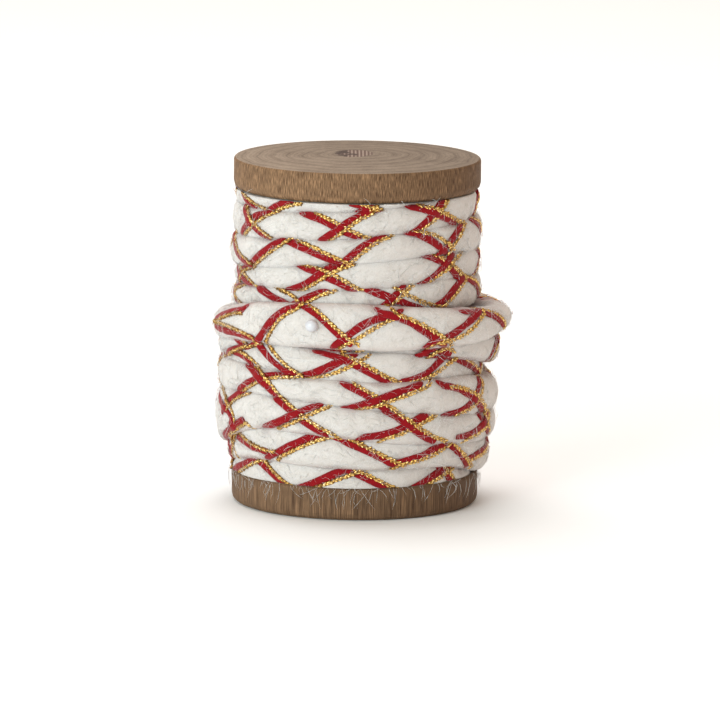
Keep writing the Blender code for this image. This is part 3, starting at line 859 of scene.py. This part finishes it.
def band_mesh(paths, lifts, half_width, section, seed):
    """Closed bands along the paths, with their places along and across in millimetres."""
    points, faces, lie = [], [], []
    rng = np.random.default_rng(seed)
    for path, lift in zip(paths, lifts):
        centre, along, across, outward = ribbon_frame(path, lift)
        keep = clear_of_ends(centre)
        if keep.sum() < FEWEST_RINGS:
            continue
        faces += counted_from(len(points), tube_faces(int(keep.sum()), len(section)))
        stations = np.arange(0, len(centre) + WIDTH_CHANGE_STEP, WIDTH_CHANGE_STEP)
        width = np.interp(np.arange(len(centre)), stations,
                          rng.uniform(*WIDTH_CHANGES, len(stations)))
        width *= half_width * path.fullness
        for index in np.flatnonzero(keep):
            for share, height in section:
                points.append(centre[index] + across[index] * share * width[index]
                              + outward[index] * height)
                lie.append((index * PATH_STEP / MM, share * half_width / MM, 0))
    points = np.array(points)
    points[:, 2] = np.clip(points[:, 2], FOOT, HEAD)
    return points, faces, np.array(lie)


def ribbon_finish():
    """Red wool ribbon with fine ribs across it and a soft bloom."""
    finish = Finish("red_ribbon", 0.85, Specular_IOR_Level=0.15, Sheen_Weight=0.25,
                    Sheen_Roughness=0.4)
    tree = finish.tree
    lie = finish.read("lie", "Vector")
    ribs = finish.node("ShaderNodeTexWave", {"Vector": stretched(tree, lie, (1, 0.35, 1)),
                       "Scale": 0.55, "Distortion": 1.2, "Detail": 2.0}, wave_type="BANDS",
                       bands_direction="X").outputs["Fac"]
    patches = noise(tree, lie, 0.7, 3, 0.6)
    red = ramp(tree, ribs, ((0.0, (0.240, 0.003, 0.007)), (1.0, (0.305, 0.005, 0.010))))
    tone = ramp(tree, patches, ((0.30, 0.82), (0.70, 1.10)))
    finish.colour(mix(tree, 1.0, red, tone, "MULTIPLY"))
    finish.bump(ribs, 0.00006, 0.6)
    return finish.material


RED_RIBBON = ribbon_finish()
CROSSED = {"rising": marks_along(BANDS["falling"]), "falling": marks_along(BANDS["rising"])}
for winding in ("rising", "falling"):
    lifts = crossing_lift(BANDS[winding], CROSSED[winding], winding == "rising")
    band_points, band_faces, band_lie = band_mesh(
        BANDS[winding], [RIBBON_SINK + lift for lift in lifts], RIBBON_HALF_WIDTH,
        RIBBON_SECTION, 31)
    band = mesh_piece(f"red_ribbon_{winding}", band_points, band_faces, RED_RIBBON)
    give_values(band, "lie", "FLOAT_VECTOR", band_lie)
    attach(band, "root")

# ---------------------------------------------------------------------------------------
# Gold braid. A narrow plait of gold metallic thread, laid along the ribbon's right-hand
# edge and wandering off it in places. Its links slant to both sides in turn.
LINK_PITCH = 0.00060
LINK_HALF = (0.00088, 0.00032, 0.00032)
LINK_SLANT = math.radians(24)
LINK_SLANT_SPREAD = 0.14
LINK_SIZES = (0.85, 1.15)
LINK_ASIDE = 0.00021
LINK_RINGS = 4
LINK_SIDES = 5
BRAID_RISE = 0.00018
CORE_HALF_WIDTH = 0.00046
CORE_SECTION = ((-1.0, 0.0), (-0.4, 0.00020), (0.4, 0.00020), (1.0, 0.0), (0.0, -0.0002))


def spindle_faces(rings, around):
    """Faces of rings of points that close to a first and a last point."""
    tip = rings * around + 1
    base = tip - around
    faces = [(0, 1 + (side + 1) % around, 1 + side) for side in range(around)]
    faces += counted_from(1, grid_faces(rings, around))
    faces += [(tip, base + side, base + (side + 1) % around) for side in range(around)]
    return faces


def link_shape():
    """Points and faces of one rounded link, from -1 to 1 along each axis."""
    points = [(-1, 0, 0)]
    for ring in range(1, LINK_RINGS):
        angle = math.pi * ring / LINK_RINGS
        for side in range(LINK_SIDES):
            turn = 2 * math.pi * side / LINK_SIDES
            points.append((-math.cos(angle), math.sin(angle) * math.cos(turn),
                           math.sin(angle) * math.sin(turn)))
    points.append((1, 0, 0))
    return np.array(points), spindle_faces(LINK_RINGS - 1, LINK_SIDES)


def braid_mesh(paths, lifts, seed):
    """Links at each pitch along the paths, and a value from 0 at a link's ends to 1, for painted
    shade.
    """
    rng = np.random.default_rng(seed)
    shape, shape_faces = link_shape()
    points, faces = [], []
    step = LINK_PITCH / PATH_STEP
    for path, lift in zip(paths, lifts):
        centre, along, across, outward = ribbon_frame(path, RIBBON_SINK + BRAID_RISE + lift)
        keep = clear_of_ends(centre)
        for number in range(int(len(centre) / step)):
            index = int((number + 0.5) * step)
            if not keep[index]:
                continue
            hand = 1 if number % 2 else -1
            slant = hand * LINK_SLANT + rng.normal(0, LINK_SLANT_SPREAD)
            ahead = along[index] * math.cos(slant) + across[index] * math.sin(slant)
            aside = across[index] * math.cos(slant) - along[index] * math.sin(slant)
            scale = np.array(LINK_HALF) * rng.uniform(*LINK_SIZES)
            middle = centre[index] + across[index] * hand * LINK_ASIDE
            faces += counted_from(len(points) * len(shape), shape_faces)
            points.append(middle + shape[:, :1] * ahead * scale[0] + shape[:, 1:2] * aside
                          * scale[1] + shape[:, 2:] * outward[index] * scale[2])
    fullness = np.tile(1 - np.abs(shape[:, 0]) ** 2, len(points))
    points = np.concatenate(points)
    points[:, 2] = np.clip(points[:, 2], FOOT, HEAD)
    return points, faces, fullness


def gold_finish():
    """Gold metallic thread, bright on the links' backs, with painted shade making it brown in
    the gaps.
    """
    finish = Finish("gold_braid", 0.27, Metallic=1.0)
    tree = finish.tree
    place = finish.node("ShaderNodeTexCoord").outputs["Object"]
    fullness = finish.read("fullness", "Fac")
    facets = noise(tree, place, 1900, 2, 0.5)
    gold = ramp(tree, facets, ((0.34, (0.66, 0.36, 0.09)), (0.54, (0.90, 0.58, 0.17)),
                               (0.70, (1.0, 0.84, 0.46))))
    # Painted shade: each link darkens to brown towards its ends, in the gaps between links.
    depth = ramp(tree, fullness, ((0.0, (0.42, 0.32, 0.24)), (0.55, (0.85, 0.82, 0.78)),
                                  (0.9, 1)))
    finish.colour(mix(tree, 1.0, gold, depth, "MULTIPLY"))
    finish.bump(facets, 0.0002, 0.7)
    return finish.material


GOLD_BRAID = gold_finish()
# A dark gold-brown strip under the links: painted shade that shows in the gaps between them.
GOLD_SHADE_CORE = Finish("gold_shade_core", 0.45, Metallic=0.8, Base_Color=(0.30, 0.16, 0.045, 1)).material
for seed, winding in enumerate(("rising", "falling")):
    lifts = crossing_lift(BRAIDS[winding], CROSSED[winding], winding == "rising")
    link_points, link_faces, link_shade_mask = braid_mesh(BRAIDS[winding], lifts, seed)
    braid = mesh_piece(f"gold_braid_{winding}", link_points, link_faces, GOLD_BRAID)
    give_values(braid, "fullness", "FLOAT", link_shade_mask)
    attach(braid, "root")
    # The dark strip of painted shade under this winding's links.
    core_points, core_faces, _ = band_mesh(
        BRAIDS[winding], [RIBBON_SINK + BRAID_RISE + lift for lift in lifts], CORE_HALF_WIDTH,
        CORE_SECTION, seed)
    core = mesh_piece(f"gold_shade_core_{winding}", core_points, core_faces, GOLD_SHADE_CORE)
    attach(core, "root")

# ---------------------------------------------------------------------------------------
# Pearl-headed pin. A plastic pearl of about 3 mm on a fine steel shank, pushed into the
# cord to hold it.
PEARL_RADIUS = 0.0016
PEARL_OPEN_END = 0.02
PIN_RADIUS = 0.00035
PIN_TIP_RADIUS = 0.00004
PIN_LENGTH = 0.011
PIN_TAPER = 0.001
PIN_AZIMUTH = math.radians(-18.0)
PIN_HEIGHT = 0.0512
PEARL_SEAT_RADIUS = 0.0368
PEARL_SIDES = 40
PEARL_RINGS = 24


def pearl_finish():
    """Pearl lacquer: a soft white under a clear gloss."""
    finish = Finish("pearl", 0.30, Coat_Weight=0.6, Coat_Roughness=0.08,
                    Specular_IOR_Level=0.5)
    edge = finish.node("ShaderNodeLayerWeight", {"Blend": 0.35}).outputs["Facing"]
    finish.colour(ramp(finish.tree, edge, ((0.0, (0.66, 0.67, 0.71)),
                                           (1.0, (0.52, 0.50, 0.52)))))
    return finish.material


def pin_profile():
    """Radius and distance outward of the shank and the pearl, from the tip."""
    join = math.asin(PIN_RADIUS / PEARL_RADIUS)
    profile = [(PIN_TIP_RADIUS, -PEARL_RADIUS - PIN_LENGTH),
               (PIN_RADIUS, PIN_TAPER - PIN_LENGTH)]
    for ring in range(PEARL_RINGS + 1):
        share = ring / PEARL_RINGS
        angle = -math.pi / 2 + join + (math.pi - join - PEARL_OPEN_END) * share
        profile.append((PEARL_RADIUS * math.cos(angle), PEARL_RADIUS * math.sin(angle)))
    return profile


out = np.array((math.sin(PIN_AZIMUTH), -math.cos(PIN_AZIMUTH), 0))
side = np.array((math.cos(PIN_AZIMUTH), math.sin(PIN_AZIMUTH), 0))
seat = out * PEARL_SEAT_RADIUS + np.array((0, 0, PIN_HEIGHT))
pin_points = []
for radius, distance in pin_profile():
    for step in range(PEARL_SIDES):
        turn = 2 * math.pi * step / PEARL_SIDES
        spread = side * math.cos(turn) + np.array((0, 0, 1)) * math.sin(turn)
        pin_points.append(seat + out * distance + spread * radius)
pin = mesh_piece("pearl_pin", np.array(pin_points),
                 tube_faces(len(pin_points) // PEARL_SIDES, PEARL_SIDES), pearl_finish())
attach(pin, "root")
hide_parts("pin")

# ---------------------------------------------------------------------------------------
# Fuzz. Loose wool fibres that stand off the felt, lie over the ribbons and hang over the
# wooden rims, and the ribbon's own red bloom along its edges. All of it is fine curved hair.

# Pairs are the least and the most. Only BLOOM_RISES and HANGING_CLEAR are a hair's height
# at its root and what its bend adds.
FIBRE_SIDES = 3
FIBRE_JOINTS = 4
JOINT_SHARES = [joint / (FIBRE_JOINTS - 1) for joint in range(FIBRE_JOINTS)]
SECTION_RADIUS = 0.0045
FIBRE_ROOT = -0.0003
FIBRE_ANGLES = (-82, 82)
YAW_SPREAD = 0.9
BEND_SPREAD = 1.9
FUZZ_LENGTHS = (0.0014, 0.0050)
FUZZ_RISES = (0.00036, 0.0007)
FUZZ_WIDTH = 0.00005
STRAY_LENGTHS = (0.004, 0.010)
STRAY_RISES = (0.0006, 0.0016)
STRAY_WIDTH = 0.00007
CLEAR_OF_BAND = 0.0011
STRAYING_SHARE = 0.20
WOOL_TINTS = ((0.98, 0.97, 0.95), (0.95, 0.93, 0.90), (0.66, 0.40, 0.40), (0.40, 0.33, 0.29))
WOOL_TINT_SHARES = (0.785, 0.20, 0.01, 0.005)
RED_TINTS = ((0.36, 0.02, 0.03), (0.52, 0.10, 0.12))
RED_TINT_SHARES = (0.7, 0.3)
BLOOM_COUNT = 4500
BLOOM_START = 0.0006
BLOOM_REACHES = (0.0003, 0.0011)
BLOOM_DRIFT = 0.0005
BLOOM_RISES = (0.00035, 0.0004)
BLOOM_WIDTH = 0.00009
HANGING_COUNT = 120
HANGING_AZIMUTHS = (-1.6, 1.6)
HANGING_FALLS = (0.0012, 0.0065)
HANGING_CLEAR = (0.0005, 0.0004)
HANGING_DRIFT = 0.07
HANGING_SWING = 0.03
HANGING_WIDTH = 0.00008
LOWER_ROOT = FOOT + 0.0006
UPPER_ROOT = HEAD - 0.0004
UPPER_SHARE = 0.2
UPPER_FALL = 0.4
LAID_LIFT = 0.0007
LAID_WIDTH = 0.00013

# Hairs that lie across the ribbons: turn, then azimuth and angle at three points, in degrees.
LAID_HAIRS = (
    (8, 23.2, 47, 19.8, 12, 17.5, -25), (9, 32.3, -1, 35.4, -25, 40.4, -68),
    (8, 12.6, 15, 14.5, -1, 16.0, -24), (7, 6.8, 75, 7.9, 54, 9.1, 40),
    (6, 44.1, 18, 43.5, 0, 42.9, -19), (6, 37.8, -25, 41.3, -50, 48.0, -80),
    (4, 30.4, 44, 32.6, 59, 37.0, 82), (3, -27.0, -8, -22.0, 0, -17.0, -4),
    (3, -18.5, -78, -18.1, -74, -15.4, -33), (1, 45.5, 39, 45.6, 22, 46.5, 4),
    (10, 35.5, 88, 32.5, 51, 30.8, 21), (10, 39.0, -7, 40.2, 9, 42.9, -29),
    (2, -32.0, -19, -29.4, -5, -26.9, 0), (5, 61.9, -4, 65.3, 8, 68.4, 20),
    (8, 50.9, -37, 50.5, -21, 52.7, -7), (3, -60.8, -29, -66.2, -50, -75.9, -70),
)


def fibre_finish():
    """Single wool fibres, each with its own tint."""
    finish = Finish("wool_fibre", 0.8, Specular_IOR_Level=0.2, Sheen_Weight=1.0,
                    Sheen_Roughness=0.6)
    finish.colour(finish.read("tint", "Color"))
    return finish.material


WOOL_FIBRE = fibre_finish()


def between_ends(knots):
    """Which fibres stay between the two wooden ends all along."""
    return np.all((knots[..., 2] > FOOT) & (knots[..., 2] < HEAD), axis=0)


def loose_fibres(rng, count, length, rise, places):
    """Bends of curved fibres that start in the wool and rise off it."""
    place = rng.uniform(*places, count)
    angle = np.radians(rng.uniform(*FIBRE_ANGLES, count))
    yaw = rng.normal(0, YAW_SPREAD, count) + rng.integers(0, 2, count) * math.pi
    bend = rng.normal(0, BEND_SPREAD, count)
    long = rng.uniform(*length, count)
    high = rng.uniform(*rise, count)
    knots = []
    for share in JOINT_SHARES:
        heading = yaw + bend * share
        at = place + np.cos(heading) * long * share / TURN_LENGTH
        at_angle = angle + np.sin(heading) * long * share / SECTION_RADIUS
        lift = FIBRE_ROOT + high * math.sin(share * math.pi * 0.75)
        knots.append(cord_surface(at, at_angle, lift)[0])
    knots = np.array(knots)
    keep = between_ends(knots)
    clear = np.minimum(distance_from(BAND_MARKS, knots[1]), distance_from(BAND_MARKS, knots[2]))
    keep &= (clear > CLEAR_OF_BAND) | (rng.random(count) < STRAYING_SHARE)
    return knots[:, keep]


def edge_bloom(rng, count):
    """Bends of the short fibres along both edges of the red ribbons."""
    frames = []
    for winding in ("rising", "falling"):
        for path in BANDS[winding]:
            frames.append(np.concatenate(ribbon_frame(path, 0.0), axis=1))
    frames = np.concatenate(frames)
    chosen = frames[rng.integers(0, len(frames), count)]
    centre, along, across, outward = (chosen[:, first:first + 3] for first in (0, 3, 6, 9))
    side = rng.choice((-1.0, 1.0), (count, 1))
    drift = rng.normal(0, BLOOM_DRIFT, (count, 1))
    reach = rng.uniform(*BLOOM_REACHES, (count, 1))
    low, high = BLOOM_RISES
    knots = []
    for share in JOINT_SHARES:
        aside = side * (BLOOM_START + share * reach)
        rise = RIBBON_SINK + low + high * math.sin(share * math.pi * 0.8)
        knots.append(centre + across * aside + along * drift * share * 2 + outward * rise)
    knots = np.array(knots)
    return knots[:, between_ends(knots)]


def hanging_hairs(rng, count):
    """Bends of the hairs that lie over the rims of the two wooden ends."""
    azimuth = rng.uniform(*HANGING_AZIMUTHS, count)
    upper = rng.random(count) < UPPER_SHARE
    start = np.where(upper, UPPER_ROOT, LOWER_ROOT)
    fall = rng.uniform(*HANGING_FALLS, count) * np.where(upper, UPPER_FALL, -1.0)
    drift = rng.normal(0, HANGING_DRIFT, count)
    swing = rng.normal(0, HANGING_SWING, count)
    clear, bulge = HANGING_CLEAR
    knots = []
    for share in JOINT_SHARES:
        turn = azimuth + drift * share + swing * math.sin(share * math.pi)
        radius = END_RADIUS + clear + bulge * math.sin(share * math.pi)
        knots.append(np.stack((radius * np.sin(turn), -radius * np.cos(turn),
                               start + fall * share), axis=-1))
    return np.array(knots)


def laid_hairs():
    """Bends of the listed hairs."""
    knots = []
    for share in JOINT_SHARES:
        weights = weights_of_three(share)
        row = []
        for turn, *listed in LAID_HAIRS:
            place = turn + np.dot(weights, listed[0::2]) / 360
            angle = math.radians(np.dot(weights, listed[1::2]))
            row.append(cord_surface(place, angle, LAID_LIFT)[0])
        knots.append(np.array(row))
    return np.array(knots)


def fibre_piece(name, knots, width, tints, shares, seed):
    """One mesh of fine three-sided fibres through their bends, pointed at both ends."""
    rng = np.random.default_rng(seed)
    total = knots.shape[1]
    along = knots[-1] - knots[0]
    first_side = np.cross(along, rng.normal(size=(total, 3)))
    first_side /= np.linalg.norm(first_side, axis=1)[:, None]
    second_side = np.cross(along, first_side)
    second_side /= np.linalg.norm(second_side, axis=1)[:, None]
    parts = [knots[0][:, None]]
    for joint in range(1, FIBRE_JOINTS - 1):
        for corner in range(FIBRE_SIDES):
            turn = 2 * math.pi * corner / FIBRE_SIDES
            offset = first_side * math.cos(turn) + second_side * math.sin(turn)
            parts.append((knots[joint] + offset * width / 2)[:, None])
    parts.append(knots[-1][:, None])
    points = np.concatenate(parts, axis=1)
    size = points.shape[1]
    starts = np.arange(total)[:, None] * size
    faces = [face for corners in spindle_faces(FIBRE_JOINTS - 2, FIBRE_SIDES)
             for face in (starts + np.array(corners)).tolist()]
    hairs = mesh_piece(name, points.reshape(-1, 3), faces, WOOL_FIBRE)
    choice = rng.choice(len(tints), total, p=shares)
    colours = np.array([full_colour(tint) for tint in tints])[choice]
    give_values(hairs, "tint", "FLOAT_COLOR", np.repeat(colours, size, axis=0))
    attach(hairs, "root")
    return hairs


MIDDLE_PLACE = 6.4
for fibre_name, seed, count, length, rise, places, width in (
    ("wool_fuzz_lower", 21, 13500, FUZZ_LENGTHS, FUZZ_RISES, (FIRST_PLACE, MIDDLE_PLACE),
     FUZZ_WIDTH),
    ("wool_fuzz_upper", 22, 13500, FUZZ_LENGTHS, FUZZ_RISES, (MIDDLE_PLACE, LAST_PLACE),
     FUZZ_WIDTH),
    ("stray_hairs", 23, 1800, STRAY_LENGTHS, STRAY_RISES, (FIRST_PLACE, LAST_PLACE),
     STRAY_WIDTH),
):
    bends = loose_fibres(np.random.default_rng(seed), count, length, rise, places)
    fibre_piece(fibre_name, bends, width, WOOL_TINTS, WOOL_TINT_SHARES, seed)
fibre_piece("laid_hairs", laid_hairs(), LAID_WIDTH, WOOL_TINTS[:1], (1.0,), 24)
fibre_piece("hanging_hairs", hanging_hairs(np.random.default_rng(25), HANGING_COUNT),
                    HANGING_WIDTH, WOOL_TINTS, WOOL_TINT_SHARES, 25)
fibre_piece("red_bloom", edge_bloom(np.random.default_rng(26), BLOOM_COUNT),
                    BLOOM_WIDTH, RED_TINTS, RED_TINT_SHARES, 26)

# ---------------------------------------------------------------------------------------
# Studio. A wide pale floor under soft light: a large softbox at the front left, a small one
# above it for the glints, one overhead, and a warm glow from all round.
FLOOR_HALF = 8
GLOW_COLOUR = (1.0, 0.84, 0.71, 1)
GLOW_STRENGTH = 0.62
floor_corners = np.array([(-1, -1, 0), (1, -1, 0), (1, 1, 0), (-1, 1, 0)]) * FLOOR_HALF
floor_finish = Finish("floor", 0.9, Specular_IOR_Level=0.0, Base_Color=(0.95, 0.97, 0.98, 1))
floor = mesh_piece("floor", floor_corners, [(0, 1, 2, 3)], floor_finish.material)


def softbox(name, place, width, height, power, colour):
    """A soft light that faces the middle of the spool."""
    light = bpy.data.lights.new(name, "AREA")
    light.shape = "RECTANGLE"
    light.size, light.size_y = width, height
    light.energy = power
    light.color = colour
    lamp = put_in_scene(name, light)
    lamp.location = place
    lamp.rotation_euler = (CAMERA_AIM - Vector(place)).to_track_quat("-Z", "Y").to_euler()


softbox("key", (-1.05, -1.38, 0.45), 1.3, 1.0, 21, (0.76, 0.95, 1.0))
softbox("glint", (-0.75, -1.50, 0.95), 0.2, 0.2, 2.5, (1.0, 1.0, 1.0))
softbox("overhead", (-0.2, 0.6, 1.6), 1.4, 1.4, 19, (0.96, 0.98, 1.0))
world = bpy.data.worlds.new("studio")
world.use_nodes = True
glow = world.node_tree.nodes["Background"]
glow.inputs["Color"].default_value = GLOW_COLOUR
glow.inputs["Strength"].default_value = GLOW_STRENGTH
bpy.context.scene.world = world
